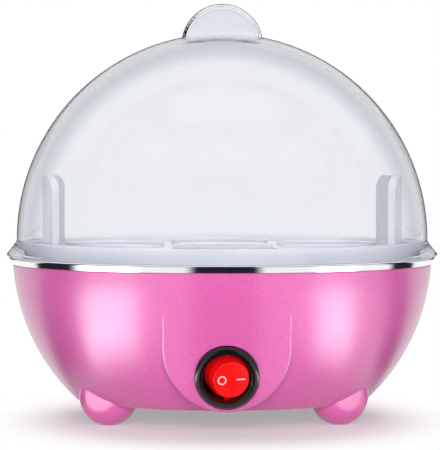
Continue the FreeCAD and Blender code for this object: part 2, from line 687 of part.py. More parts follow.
def tray_ear(angle):
    """Upright curved ear with rounded upper corners, cut by a rounded block across its width."""
    low = TRAY_PLATE_Z - TRAY_WALL / 2
    high = TRAY_PLATE_Z + EAR_H
    wall = sector(EAR_R - EAR_T, EAR_R, 0.0, EAR_HALF_SPAN, low, high)
    half = EAR_R * math.sin(math.radians(EAR_HALF_SPAN))
    corners = [V(0, -half, low), V(0, half, low), V(0, half, high), V(0, -half, high)]
    outline = rounded_wire(corners, [0, 0, EAR_ROUND, EAR_ROUND])
    ear = wall.common(Part.Face(outline).extrude(V(EAR_R, 0, 0)))
    ear.rotate(ORIGIN, Z_AXIS, angle)
    return ear


# Lid

def half_ball(radius):
    return Part.makeSphere(radius, V(0, 0, DOME_Z), Z_AXIS, 0, 90, 360)


def grip_disc(inset):
    return edge_disc(GRIP_R - inset, GRIP_T / 2 - inset, GRIP_ROUND - inset, V(0, 0, GRIP_Z))


def lid():
    flare_top = DOME_Z - FLARE_FADE
    skirt = spun([(0, SEAT_Z), (LIP_R, SEAT_Z, LIP_ROUND), (LIP_R, SEAT_Z + LIP_EDGE_T, LIP_ROUND),
                  (LIP_R - CREASE_IN, SEAT_Z + CREASE_H), (DOME_R, flare_top, FLARE_ROUND),
                  (DOME_R, DOME_Z), (0, DOME_Z)])
    outer = joined([skirt, half_ball(DOME_R), grip_disc(0)])
    inner_r = DOME_R - LID_WALL
    inner = joined([disc(inner_r, SEAT_Z, DOME_Z), half_ball(inner_r), grip_disc(LID_WALL)])
    return outer.cut(inner)


# Heater and what holds it

def dish_studs():
    low = NUT_Z - STUD_SPARE
    return Part.makeCompound([disc(STUD_R, low, DISH_UNDER_Z, polar(STUD_CIRCLE_R, a)) for a in STUD_ANGLES])


def stud_washers():
    places = [polar(STUD_CIRCLE_R, angle) for angle in STUD_ANGLES]
    return Part.makeCompound([ring(STUD_R + CLEAR, WASHER_R, WASHER_Z, POST_ROOF_Z, at) for at in places])


def stud_nuts():
    nuts = []
    for angle in STUD_ANGLES:
        at = polar(STUD_CIRCLE_R, angle)
        nuts.append(hexagon(NUT_R, NUT_Z, WASHER_Z, at).cut(disc(STUD_R + CLEAR, NUT_Z, WASHER_Z, at)))
    return Part.makeCompound(nuts)


def retainer_screw_places():
    return [polar(RETAINER_SCREW_R, 90.0 + 360.0 * i / RETAINER_SCREWS) for i in range(RETAINER_SCREWS)]


def flange_screw_places():
    return [V(0, y, 0) for y in (-FLANGE_EAR_Y, FLANGE_EAR_Y)]


def heat_spreader():
    plate = disc(SPREADER_R, SPREADER_Z, DISH_UNDER_Z)
    places = retainer_screw_places() + flange_screw_places()
    return plate.cut([disc(SMALL_SCREW_R + CLEAR, SPREADER_Z, SPREADER_Z + SMALL_BITE, at) for at in places])


def element_path():
    """Open ring whose ends turn out into two straight legs along +X."""
    bend_y = LEG_Y + LEG_BEND_R
    bend_x = math.sqrt((HEATER_R + LEG_BEND_R) ** 2 - bend_y ** 2)
    share = HEATER_R / (HEATER_R + LEG_BEND_R)

    def leg(side):
        centre = V(bend_x, side * bend_y, HEATER_Z)
        on_ring = V(bend_x * share, side * bend_y * share, HEATER_Z)
        on_leg = V(bend_x, side * LEG_Y, HEATER_Z)
        middle = centre + ((on_ring - centre) + (on_leg - centre)).normalize() * LEG_BEND_R
        return on_ring, middle, on_leg, V(LEG_END_X, side * LEG_Y, HEATER_Z)

    ring_a, mid_a, leg_a, end_a = leg(1)
    ring_b, mid_b, leg_b, end_b = leg(-1)
    return Part.Wire([Part.LineSegment(end_a, leg_a).toShape(),
                      Part.Arc(leg_a, mid_a, ring_a).toShape(),
                      Part.Arc(ring_a, V(-HEATER_R, 0, HEATER_Z), ring_b).toShape(),
                      Part.Arc(ring_b, mid_b, leg_b).toShape(),
                      Part.LineSegment(leg_b, end_b).toShape()])


def heater_element():
    section = Part.Wire(Part.Circle(V(LEG_END_X, LEG_Y, HEATER_Z), X_AXIS, TUBE_R).toShape())
    return element_path().makePipeShell([section], True, False)


def leg_ends():
    return [V(LEG_END_X, side * LEG_Y, HEATER_Z) for side in (-1, 1)]


def heater_seals():
    beads = []
    for end in leg_ends():
        bead = rod(SEAL_BEAD_R, end, end + X_AXIS * SEAL_BEAD_L)
        beads.append(bead.cut(rod(PIN_R + CLEAR, end, end + X_AXIS * SEAL_BEAD_L)))
    return Part.makeCompound(beads)


def heater_pins():
    length = X_AXIS * (SEAL_BEAD_L + PIN_L)
    return Part.makeCompound([rod(PIN_R, end, end + length) for end in leg_ends()])


def heater_retainer():
    outer = HEATER_R + TUBE_R + RETAINER_MARGIN
    plate = ring(RETAINER_IN_R, outer, RETAINER_Z, RETAINER_Z + RETAINER_T)
    top = RETAINER_Z + RETAINER_T
    holes = [disc(SMALL_SCREW_R + CLEAR, RETAINER_Z, top, at) for at in retainer_screw_places()]
    return plate.cut(holes)


def small_screw(under, at):
    """Pan-head screw up into the heat spreader, its head below a given height."""
    tip = SPREADER_Z + SMALL_BITE - CLEAR
    low = under - SMALL_HEAD_H
    screw = joined([disc(SMALL_HEAD_R, low, under, at), disc(SMALL_SCREW_R, under, tip, at)])
    half = V(SMALL_HEAD_R, SLOT_W / 2, 0)
    return screw.cut(box(at - half + V(0, 0, low), at + half + V(0, 0, low + SLOT_DEPTH)))


def retainer_screws():
    return Part.makeCompound([small_screw(RETAINER_Z, at) for at in retainer_screw_places()])


def thermostat_screws():
    return Part.makeCompound([small_screw(SPREADER_Z - FLANGE_T, at) for at in flange_screw_places()])


def thermostat_cap():
    return disc(CAP_R, CAP_Z, SPREADER_Z)


def thermostat_body():
    return disc(STAT_R, STAT_Z, CAP_Z)


def thermostat_flange():
    low = SPREADER_Z - FLANGE_T
    ears = [disc(FLANGE_EAR_R, low, SPREADER_Z, at) for at in flange_screw_places()]
    plate = joined([disc(FLANGE_R, low, SPREADER_Z)] + ears)
    holes = [disc(SMALL_SCREW_R + CLEAR, low, SPREADER_Z, at) for at in flange_screw_places()]
    return plate.cut(holes + [disc(CAP_R + CLEAR, low, SPREADER_Z)])


def thermostat_terminals():
    blades = []
    for side in (-1, 1):
        ends = sorted((side * STAT_BLADE_IN, side * STAT_BLADE_REACH))
        blades.append(box(V(ends[0], -BLADE_W / 2, STAT_Z - BLADE_T), V(ends[1], BLADE_W / 2, STAT_Z)))
    return Part.makeCompound(blades)


# Switch, drawn about its own seat with -Y pointing out of the panel

def along_y(radius, start, end, x=0.0):
    return rod(radius, V(x, start, 0), V(x, end, 0))


def switch_housing():
    bezel = along_y(BEZEL_R, -BEZEL_T, 0)
    bezel = bezel.makeFillet(BEZEL_ROUND, circles_at(bezel, BEZEL_R, "y", -BEZEL_T))
    housing = joined([bezel, along_y(BARREL_R, 0, BARREL_L)])
    mouth = Part.makeCone(CAVITY_R + BEZEL_LIP, CAVITY_R, BEZEL_LIP, V(0, -BEZEL_T, 0), Y_AXIS)
    cuts = [mouth, along_y(CAVITY_R, -BEZEL_T, BARREL_L - BARREL_BACK)]
    pivot = V(0, PIVOT_IN, 0)
    cuts.append(rod(TRUNNION_R + RUN_GAP, pivot - Z_AXIS * BARREL_R, pivot + Z_AXIS * BARREL_R))
    blade = V(BLADE_T / 2 + CLEAR, 0, BLADE_W / 2 + CLEAR)
    for x in (-TERMINAL_X, 0.0, TERMINAL_X):
        at = V(x, 0, 0)
        back = V(0, BARREL_L, 0)
        cuts.append(box(at - blade + V(0, BARREL_L - BARREL_BACK, 0), at + blade + back))
    return in_switch(joined([housing] + [snap_catch(side) for side in (-1, 1)]).cut(cuts))


def snap_catch(side):
    """Ramp on the barrel that holds the switch behind the panel's inner face."""
    root = BARREL_R - BARREL_WALL / 2
    front = panel_inside_y(BARREL_R + CATCH_H) + CATCH_GAP
    corners = [V(side * root, front, 0), V(side * (BARREL_R + CATCH_H), front, 0),
               V(side * root, front + CATCH_L, 0)]
    ramp = Part.Face(Part.makePolygon(corners + corners[:1])).extrude(Z_AXIS * CATCH_W)
    ramp.translate(Z_AXIS * (-CATCH_W / 2))
    return ramp


def panel_inside_y(x):
    """Deepest inner face of the panel at a distance from the middle, in the switch's own Y."""
    low_r = panel_r(SWITCH_Z - CATCH_W / 2) - BODY_WALL / LEAN_COS
    inside = math.sqrt(low_r ** 2 - x ** 2)
    return (-SWITCH_AT.y - inside) * LEAN_COS


def tipped(shape):
    """Turn a piece of the rocker from level to its rest, the left side out."""
    shape.rotate(V(0, PIVOT_IN, 0), Z_AXIS, ROCKER_TILT)
    return in_switch(shape)


def legend_solids(gap):
    """The O and the bar of the rocker's face, grown all round by a gap."""
    face = PIVOT_IN - ROCKER_FACE
    floor = face + LEGEND_DEPTH + gap
    half = LEGEND_STROKE / 2 + gap
    letter_o = along_y(LEGEND_RING_R + half, face, floor, -LEGEND_X)
    letter_o = letter_o.cut(along_y(LEGEND_RING_R - half, face, floor, -LEGEND_X))
    bar_half = LEGEND_BAR_L / 2 + gap
    bar = box(V(LEGEND_X - bar_half, face, -half), V(LEGEND_X + bar_half, floor, half))
    return [letter_o, bar]


def switch_rocker():
    face = PIVOT_IN - ROCKER_FACE
    back = PIVOT_IN + ROCKER_BACK
    taper = PIVOT_IN - ROCKER_TAPER
    front = Part.makeCone(ROCKER_R, ROCKER_FACE_R, taper - face, V(0, taper, 0), Y_AXIS * -1)
    cap = joined([along_y(ROCKER_R, taper, back), front])
    cap = cap.makeFillet(ROCKER_ROUND, circles_at(cap, ROCKER_FACE_R, "y", face))
    inside = face + ROCKER_FACE_T
    cap = cap.cut(along_y(ROCKER_R - ROCKER_WALL, inside, back))
    tube_r = PLUNGER_R + RUN_GAP
    guide = along_y(tube_r + PLUNGER_TUBE_WALL, inside, back)
    reach = BARREL_R - TRUNNION_END_GAP
    root = ROCKER_R - ROCKER_WALL / 2
    pivot = V(0, PIVOT_IN, 0)
    trunnions = [rod(TRUNNION_R, pivot + Z_AXIS * (s * root), pivot + Z_AXIS * (s * reach)) for s in (-1, 1)]
    rocker = joined([cap, guide] + trunnions)
    return tipped(rocker.cut([along_y(tube_r, inside, back)] + legend_solids(LEGEND_GAP)))


def rocker_legend():
    return tipped(Part.makeCompound(legend_solids(0)))


def switch_plunger():
    tip = PIVOT_IN + PLUNGER_TIP
    stem = along_y(PLUNGER_R, tip - PLUNGER_L, tip)
    return tipped(stem.makeFillet(PLUNGER_R / 2, circles_at(stem, PLUNGER_R, "y", tip)))


def plunger_spring():
    """Spring behind the plunger, as the plain sleeve that its turns fill."""
    start = PIVOT_IN - ROCKER_FACE + ROCKER_FACE_T
    end = PIVOT_IN + PLUNGER_TIP - PLUNGER_L
    return tipped(along_y(PLUNGER_R, start, end).cut(along_y(PLUNGER_R - SPRING_WALL, start, end)))


def switch_lamp():
    front = PIVOT_IN - ROCKER_FACE + ROCKER_FACE_T + LAMP_GAP
    middle = V(LAMP_X, front + LAMP_R, 0)
    half = Z_AXIS * (LAMP_L / 2)
    return tipped(rod(LAMP_R, middle - half, middle + half))


def contact_arm():
    blade = box(V(-ARM_L / 2, ARM_Y - ARM_T / 2, -ARM_W / 2), V(ARM_L / 2, ARM_Y + ARM_T / 2, ARM_W / 2))
    knuckle = rod(KNUCKLE_R, V(0, ARM_Y, -ARM_W / 2), V(0, ARM_Y, ARM_W / 2))
    arm = joined([blade, knuckle])
    arm.rotate(V(0, ARM_Y, 0), Z_AXIS, -ARM_TILT)
    return in_switch(arm)


def blade_starts():
    """Front end of each switch blade, by its place across the switch."""
    middle = ARM_Y + KNUCKLE_R + ARM_GAP
    side = ARM_Y + ARM_T / 2 + SIDE_BLADE_GAP
    return [(-TERMINAL_X, side), (0.0, middle), (TERMINAL_X, side)]


def switch_terminals():
    half = V(BLADE_T / 2, 0, BLADE_W / 2)
    end = BARREL_L + TERMINAL_OUT
    return in_switch(Part.makeCompound([box(V(x, y, 0) - half, V(x, end, 0) + half) for x, y in blade_starts()]))


# Gland, terminal block and wiring

def cord_gland():
    out = GLAND_OUT_Y + GLAND_FLANGE_T
    flange = rod(GLAND_FLANGE_R, V(0, GLAND_OUT_Y, GLAND_Z), V(0, out, GLAND_Z))
    flange = flange.makeFillet(GLAND_ROUND, circles_at(flange, GLAND_FLANGE_R, "y", out))
    barrel = rod(GLAND_BARREL_R, V(0, GLAND_TAIL_Y, GLAND_Z), V(0, GLAND_OUT_Y, GLAND_Z))
    return joined([flange, barrel]).cut(rod(GLAND_BORE_R, V(0, GLAND_TAIL_Y, GLAND_Z), V(0, out, GLAND_Z)))


def gland_nut():
    nut = hexagon(GLAND_NUT_R, 0, GLAND_NUT_T).cut(disc(GLAND_BARREL_R + CLEAR, 0, GLAND_NUT_T))
    nut.rotate(ORIGIN, X_AXIS, 90)
    nut.translate(V(0, GLAND_IN_Y, GLAND_Z))
    return nut


def block_poles():
    return (-BLOCK_PITCH, 0.0, BLOCK_PITCH)


def terminal_block():
    low = V(-BLOCK_W / 2, BLOCK_FRONT_Y, LEDGE_TOP_Z)
    block = box(low, low + V(BLOCK_W, BLOCK_D, BLOCK_H))
    top = LEDGE_TOP_Z + BLOCK_H
    cuts = []
    for x in block_poles():
        entry = V(x, BLOCK_FRONT_Y, BLOCK_ENTRY_Z)
        cuts.append(rod(BLOCK_ENTRY_R, entry, entry + Y_AXIS * BLOCK_ENTRY_DEPTH))
        cuts.append(disc(BLOCK_SCREW_R + CLEAR, top - BLOCK_SCREW_L, top, V(x, BLOCK_Y, 0)))
    return block.cut(cuts)


def block_screws():
    top = LEDGE_TOP_Z + BLOCK_H - CLEAR
    screws = []
    for x in block_poles():
        at = V(x, BLOCK_Y, 0)
        screw = disc(BLOCK_SCREW_R, top - BLOCK_SCREW_L + CLEAR, top, at)
        half = V(BLOCK_SCREW_R, SLOT_W / 2, 0)
        screws.append(screw.cut(box(at - half + V(0, 0, top - SLOT_DEPTH), at + half + V(0, 0, top))))
    return Part.makeCompound(screws)


def connector(blade):
    """Push-on connector along X from the origin, its mouth cut for a blade or pin."""
    half = V(0, CONNECTOR_W / 2, CONNECTOR_T / 2)
    return box(V(0, 0, 0) - half, V(CONNECTOR_L, 0, 0) + half).cut(blade)


def wire_connectors():
    blade_half = V(0, BLADE_W / 2 + CLEAR, BLADE_T / 2 + CLEAR)
    slot = box(V(0, 0, 0) - blade_half, V(BLADE_LAP + CLEAR, 0, 0) + blade_half)
    hole = rod(PIN_R + CLEAR, ORIGIN, V(BLADE_LAP + CLEAR, 0, 0))
    placed = []
    for x in (-TERMINAL_X, 0.0, TERMINAL_X):
        piece = connector(slot)
        piece.rotate(ORIGIN, X_AXIS, 90)
        piece.rotate(ORIGIN, Z_AXIS, 90)
        piece.translate(V(x, BARREL_L + TERMINAL_OUT - BLADE_LAP, 0))
        placed.append(in_switch(piece))
    for turn in (0, 180):
        piece = connector(slot)
        piece.translate(V(STAT_BLADE_REACH - BLADE_LAP, 0, STAT_BLADE_Z))
        piece.rotate(ORIGIN, Z_AXIS, turn)
        placed.append(piece)
    for end in leg_ends():
        piece = connector(hole)
        piece.translate(end + X_AXIS * (SEAL_BEAD_L + PIN_L - BLADE_LAP))
        placed.append(piece)
    return Part.makeCompound(placed)


def switch_exit(x, past=0.0):
    """Point on the axis of a switch connector, where its wire leaves or further on."""
    point = V(x, BARREL_L + TERMINAL_OUT - BLADE_LAP + CONNECTOR_L + past, 0)
    turned = FreeCAD.Rotation(X_AXIS, PANEL_LEAN).multVec(point)
    return turned + SWITCH_AT


def block_entry(x, past=0.0):
    return V(x, BLOCK_FRONT_Y + BLOCK_ENTRY_DEPTH - CLEAR - past, BLOCK_ENTRY_Z)


def pin_exit(side, past=0.0):
    reach = LEG_END_X + SEAL_BEAD_L + PIN_L - BLADE_LAP + CONNECTOR_L
    return V(reach + past, side * LEG_Y, HEATER_Z)


def lead_line():
    return tube([switch_exit(0.0), switch_exit(0.0, LEAD_RUN),
                 V(-LINE_BOW, -CROSS_Y, CROSS_Z), V(-BLOCK_PITCH, CROSS_BACK_Y, CROSS_BACK_Z),
                 block_entry(-BLOCK_PITCH, BLOCK_RUN), block_entry(-BLOCK_PITCH)], WIRE_R)


def lead_lamp():
    return tube([switch_exit(TERMINAL_X), switch_exit(TERMINAL_X, LEAD_RUN),
                 V(BLOCK_PITCH, -CROSS_Y, CROSS_Z), V(LAMP_BOW, CROSS_BACK_Y, CROSS_BACK_Z),
                 block_entry(0.0, BLOCK_RUN), block_entry(0.0)], WIRE_R)


def lead_switched():
    return tube([switch_exit(-TERMINAL_X), switch_exit(-TERMINAL_X, LEAD_RUN),
                 polar(SWITCHED_TURN_R, SWITCHED_FROM, STAT_BLADE_Z - SWITCHED_DROP),
                 polar(SWITCHED_TURN_R, SWITCHED_VIA, STAT_BLADE_Z - SWITCHED_DROP / 3),
                 polar(SWITCHED_TURN_R, 180.0, STAT_BLADE_Z),
                 V(-STAT_LEAD_X, 0, STAT_BLADE_Z)], WIRE_R)


def fuse_start():
    return STAT_LEAD_X + FUSE_RUN


def fuse_sleeve():
    start = V(fuse_start(), 0, STAT_BLADE_Z)
    end = start + X_AXIS * FUSE_SLEEVE_L
    inside = (FUSE_SLEEVE_L - FUSE_L) / 2
    sleeve = rod(FUSE_SLEEVE_R, start, end)
    room = rod(FUSE_R + CLEAR, start + X_AXIS * (inside - CLEAR), end - X_AXIS * (inside - CLEAR))
    return sleeve.cut([rod(WIRE_R + CLEAR, start, end), room])


def thermal_fuse():
    start = V(fuse_start() + (FUSE_SLEEVE_L - FUSE_L) / 2, 0, STAT_BLADE_Z)
    return rod(FUSE_R, start, start + X_AXIS * FUSE_L)


def lead_fuse():
    fuse_in = fuse_start() + (FUSE_SLEEVE_L - FUSE_L) / 2
    first = rod(WIRE_R, V(STAT_LEAD_X, 0, STAT_BLADE_Z), V(fuse_in, 0, STAT_BLADE_Z))
    out = V(fuse_in + FUSE_L, 0, STAT_BLADE_Z)
    second = tube([out, V(LEAD_TURN_X - LEAD_TURN, 0, STAT_BLADE_Z),
                   V(LEAD_TURN_X, -LEG_Y / 3, STAT_BLADE_Z + 2 * WIRE_R),
                   V(LEAD_TURN_X, -LEG_Y, HEATER_Z), pin_exit(-1)], WIRE_R)
    return Part.makeCompound([first, second])


def lead_neutral():
    return tube([block_entry(BLOCK_PITCH), block_entry(BLOCK_PITCH, BLOCK_RUN),
                 V(LEAD_TURN_X / 3, NEUTRAL_Y, CROSS_Z), V(LEAD_TURN_X, NEUTRAL_Y, NEUTRAL_Z),
                 V(LEAD_TURN_X, LEG_Y, HEATER_Z), pin_exit(1)], WIRE_R)


NODES = [lid, egg_tray, heating_dish, rim_seal, body_shell, base_cover, cover_screws,
         dish_studs, stud_washers, stud_nuts,
         heat_spreader, heater_element, heater_seals, heater_pins, heater_retainer, retainer_screws,
         thermostat_cap, thermostat_body, thermostat_flange, thermostat_screws, thermostat_terminals,
         switch_housing, switch_rocker, rocker_legend, switch_plunger, plunger_spring, switch_lamp,
         contact_arm, switch_terminals, cord_gland, gland_nut, terminal_block, block_screws,
         wire_connectors, fuse_sleeve, thermal_fuse,
         lead_line, lead_lamp, lead_switched, lead_fuse, lead_neutral]

os.makedirs("parts", exist_ok=True)
for make in NODES:
    make().exportStep("parts/" + make.__name__ + ".step")
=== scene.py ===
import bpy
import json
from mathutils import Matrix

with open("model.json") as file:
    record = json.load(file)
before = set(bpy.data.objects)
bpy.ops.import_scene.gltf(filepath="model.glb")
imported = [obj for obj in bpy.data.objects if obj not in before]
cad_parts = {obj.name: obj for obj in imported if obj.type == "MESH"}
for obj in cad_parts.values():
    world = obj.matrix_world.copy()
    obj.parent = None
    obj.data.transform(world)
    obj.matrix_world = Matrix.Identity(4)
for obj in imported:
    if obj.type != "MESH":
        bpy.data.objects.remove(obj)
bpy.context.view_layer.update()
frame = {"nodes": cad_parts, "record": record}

import json
import math

import bpy
from mathutils import Vector

# Egg cooker in metres. The switch faces -Y and +Z is up.


def linear(r, g, b):
    """Linear colour, from 0 to 255 sRGB values."""
    values = []
    for level in (r, g, b):
        level = level / 255.0
        values.append(level / 12.92 if level <= 0.04045 else ((level + 0.055) / 1.055) ** 2.4)
    return tuple(values) + (1.0,)


def shade(colour, factor):
    """The colour made darker or lighter."""
    return tuple(min(channel * factor, 1.0) for channel in colour[:3]) + (1.0,)


def shades(colour, varied):
    """The darkest and the lightest tone of a surface whose colour varies by this share."""
    return shade(colour, 1 - varied), shade(colour, 1 + varied)


WHITE = (1.0, 1.0, 1.0, 1.0)

# Camera, as the photograph was framed
CAMERA_AT = Vector((-0.027, -1.100, 0.1107))
CAMERA_AIM = Vector((-0.0008, 0.0, 0.0737))
LENS_MM = 229.0
SENSOR_MM = 36.0

# Studio light. Azimuths are in degrees, from the front of the object to its right
LAMP_AIM = Vector((0.0, 0.0, 0.07))
SIDE_BOX_AZIMUTH = 64.0
SIDE_BOX_DISTANCE = 0.85
SIDE_BOX_HEIGHT = 0.30
SIDE_BOX_SIZE = (0.55, 0.60)
SIDE_BOX_POWER = 0.4
FRONT_BOX_DISTANCE = 1.6
FRONT_BOX_HEIGHT = 0.30
FRONT_BOX_SIZE = (0.8, 0.8)
FRONT_BOX_POWER = 22.0
TOP_BOX_HEIGHT = 1.3
TOP_BOX_BACK = 0.55
TOP_BOX_SIZE = (1.4, 1.4)
TOP_BOX_POWER = 18.0
AMBIENT = 0.18
REFLECTED_SKY = 0.50

# Cards around the object that only reflections see
# Light of a card, dark for a flag and bright for a glow: (colour, strength)
FLAG = ((0.55, 0.50, 1.0, 1.0), 0.03)
GLOW = (WHITE, 5.4)
# Each card: (name, from azimuth, to azimuth, nearest, farthest, height, light)
CARDS = (
    ("front_flag", -20.5, 20.5, 0.05, 1.3, 1.2, FLAG),
    ("left_flag", -115.0, -77.0, 0.05, 1.3, 0.8, FLAG),
    ("right_flag", 90.0, 119.0, 0.05, 1.3, 0.8, FLAG),
    ("back_flag", 145.0, 215.0, 1.2, 1.3, 0.40, FLAG),
    ("left_glow", -79.0, -41.0, 0.057, 0.25, 0.0, GLOW),
    ("right_glow", 43.0, 72.0, 0.057, 0.25, 0.0, GLOW),
)
CARD_FORWARD = 0.02
CARD_LIFT = 0.0006
CARD_COLUMNS = 36
# A card's light fades out over this angle at each end, and over this distance at its near edge
CARD_END_FADE = 7.0
CARD_NEAR_FADE = 0.05

# Floor: part of its white is its own, so that the shadow stays pale
FLOOR_HALF = 3.0
FLOOR_OWN_WHITE = 0.35
FLOOR_ALBEDO = 0.65
FLOOR_UNEVEN = 0.01
FLOOR_GRAIN = 40.0
# The shadow fades out between these distances, sooner to the sides than to the front
FLOOR_FADE_FROM = 0.055
FLOOR_FADE_TO = 0.095
FLOOR_FADE_SHAPE = (1.0, 0.6, 1.0)

# Values that count as a noise's lowest and highest, because it seldom goes past them
NOISE_LOW = 0.3
NOISE_HIGH = 0.7

# How far the roughness of moulded pieces and of metal varies, as a share of it
MOULDED_UNEVEN = 0.15
METAL_UNEVEN = 0.3

# Tint of each face of the clear wall, from seen square on (0) to seen edge on (1): the plastic's own tint
# square on, and painted shade and light at a slant (a painted grey band, a painted lighter rim and a
# painted dark edge)
CLEAR_SLANT_SHADE_STOPS = (
    (0.0, linear(246, 247, 250)),
    (0.49, linear(247, 248, 251)),
    (0.62, linear(214, 217, 223)),
    (0.73, linear(208, 211, 217)),
    (0.82, linear(240, 241, 244)),
    (0.90, linear(238, 239, 242)),
    (1.0, linear(120, 121, 126)),
)

# Heights between which the lid's lip turns into its wall, and its wall into its grip
LIP_FROM = 0.0650
LIP_TO = 0.0690
GRIP_FROM = 0.1465
GRIP_TO = 0.1485

# The thick lip bends light less than the wall, so that it doesn't go black
LIP_IOR = 1.06
WALL_IOR = 1.3

# Further tint of the clear plastic by height, up to TINT_TOP: the lip and the grip are a little greyer
TINT_TOP = 0.16
HEIGHT_STOPS = (
    (LIP_FROM, linear(245, 245, 248)),
    (LIP_TO, WHITE),
    (GRIP_FROM, WHITE),
    (GRIP_TO, linear(248, 249, 252)),
)


class Tree:
    """A node tree, with short ways to add and join nodes."""

    def __init__(self, tree):
        self.nodes = tree.nodes
        self.links = tree.links

    def feed(self, socket, value):
        """Set an input to a plain value, or join it to another node's output."""
        if isinstance(value, bpy.types.NodeSocket):
            self.links.new(value, socket)
        else:
            socket.default_value = value

    def add(self, kind, inputs=None, **settings):
        node = self.nodes.new(kind)
        for key, value in settings.items():
            setattr(node, key, value)
        for key, value in (inputs or {}).items():
            self.feed(node.inputs[key], value)
        return node

    def calculate(self, operation, *values, **settings):
        node = self.add("ShaderNodeMath", dict(enumerate(values)), operation=operation, **settings)
        return node.outputs["Value"]

    def scaled(self, place, factors):
        node = self.add("ShaderNodeVectorMath", {0: place, 1: factors}, operation="MULTIPLY")
        return node.outputs["Vector"]

    def length(self, place):
        node = self.add("ShaderNodeVectorMath", {0: place}, operation="LENGTH")
        return node.outputs["Value"]

    def remap(self, value, start=0.0, end=1.0, low=0.0, high=1.0, kind="LINEAR"):
        """Low at the start, high at the end, and level past them."""
        inputs = {"Value": value, "From Min": start, "From Max": end, "To Min": low, "To Max": high}
        return self.add("ShaderNodeMapRange", inputs, interpolation_type=kind).outputs["Result"]

    def seen(self, *kinds):
        """1 on rays straight from the camera and on rays of these kinds, and 0 on others."""
        path = self.add("ShaderNodeLightPath").outputs
        total = path["Is Camera Ray"]
        for kind in kinds:
            total = self.calculate("ADD", total, path[kind], use_clamp=True)
        return total


class Surface(Tree):
    """A procedural material around one Principled shader."""

    def __init__(self, name):
        self.material = bpy.data.materials.new(name)
        self.material.use_nodes = True
        super().__init__(self.material.node_tree)
        self.shader = self.nodes["Principled BSDF"]
        self.place = self.add("ShaderNodeTexCoord").outputs["Object"]

    def set(self, **values):
        """Set or join the shader's inputs, named with _ for each space."""
        for key, value in values.items():
            self.feed(self.shader.inputs[key.replace("_", " ")], value)

    def noise(self, scale, detail=3.0, stretch=None):
        place = self.place
        if stretch:
            mapping = self.add("ShaderNodeMapping", {"Vector": place, "Scale": stretch})
            place = mapping.outputs["Vector"]
        inputs = {"Vector": place, "Scale": scale, "Detail": detail}
        return self.add("ShaderNodeTexNoise", inputs).outputs["Fac"]

    def rings(self, scale, detail=4.0):
        """Noise that depends only on the distance from the upright axis, as turning marks do."""
        distance = self.length(self.scaled(self.place, (1.0, 1.0, 0.0)))
        inputs = {"W": distance, "Scale": scale, "Detail": detail}
        return self.add("ShaderNodeTexNoise", inputs, noise_dimensions="1D").outputs["Fac"]

    def spread(self, noise, low, high):
        """A value that follows a noise from low to high."""
        return self.remap(noise, NOISE_LOW, NOISE_HIGH, low, high)

    def ramp(self, factor, stops):
        """Colour that follows a value from stop to stop."""
        node = self.add("ShaderNodeValToRGB", {"Fac": factor})
        elements = node.color_ramp.elements
        elements[0].position, elements[0].color = stops[0]
        elements[1].position, elements[1].color = stops[-1]
        for position, colour in stops[1:-1]:
            elements.new(position).color = colour
        return node.outputs["Color"]

    def colours(self, noise, low, high, target="Base_Color"):
        inputs = {"Factor": self.spread(noise, 0.0, 1.0), "A": low, "B": high}
        node = self.add("ShaderNodeMix", inputs, data_type="RGBA")
        self.set(**{target: node.outputs["Result"]})

    def roughness(self, noise, low, high):
        self.set(Roughness=self.spread(noise, low, high))

    def bump(self, noise, depth_mm, strength=0.5):
        inputs = {"Height": noise, "Distance": depth_mm / 1000.0, "Strength": strength}
        self.set(Normal=self.add("ShaderNodeBump", inputs).outputs["Normal"])


def moulded(name, colour, rough, grain=900.0, varied=0.05, depth_mm=0.03, **values):
    """Moulded plastic or rubber: a little uneven in colour, with a fine moulded grain."""
    surface = Surface(name)
    surface.colours(surface.noise(scale=60.0), *shades(colour, varied))
    fine = surface.noise(scale=grain)
    surface.roughness(fine, rough * (1 - MOULDED_UNEVEN), rough * (1 + MOULDED_UNEVEN))
    surface.bump(fine, depth_mm)
    surface.set(**values)
    return surface.material


def metal(name, colour, rough, turned=False, varied=0.08, depth_mm=0.01):
    """Metal with turning or rolling marks."""
    surface = Surface(name)
    if turned:
        marks = surface.rings(scale=2500.0)
    else:
        marks = surface.noise(scale=900.0, detail=4.0, stretch=(1.0, 8.0, 1.0))
    surface.colours(surface.noise(scale=80.0), *shades(colour, varied))
    surface.roughness(marks, rough * (1 - METAL_UNEVEN), rough * (1 + METAL_UNEVEN))
    surface.bump(marks, depth_mm)
    surface.set(Metallic=1.0)
    return surface.material


def pearl_plastic():
    """Glossy pearl plastic: fine flakes under a clear, strongly reflecting skin."""
    surface = Surface("pink_plastic")
    flakes = surface.add("ShaderNodeTexVoronoi", {"Vector": surface.place, "Scale": 2600.0})
    flake = surface.add("ShaderNodeSeparateColor", {"Color": flakes.outputs["Color"]})
    surface.colours(flake.outputs["Red"], *shades(linear(228, 98, 177), varied=0.05))
    surface.roughness(surface.noise(scale=140.0), low=0.34, high=0.40)
    surface.bump(surface.noise(scale=55.0, detail=2.0), depth_mm=0.02, strength=0.2)
    surface.set(IOR=1.4, Coat_Weight=1.0, Coat_Roughness=0.27, Coat_IOR=1.75)
    return surface.material


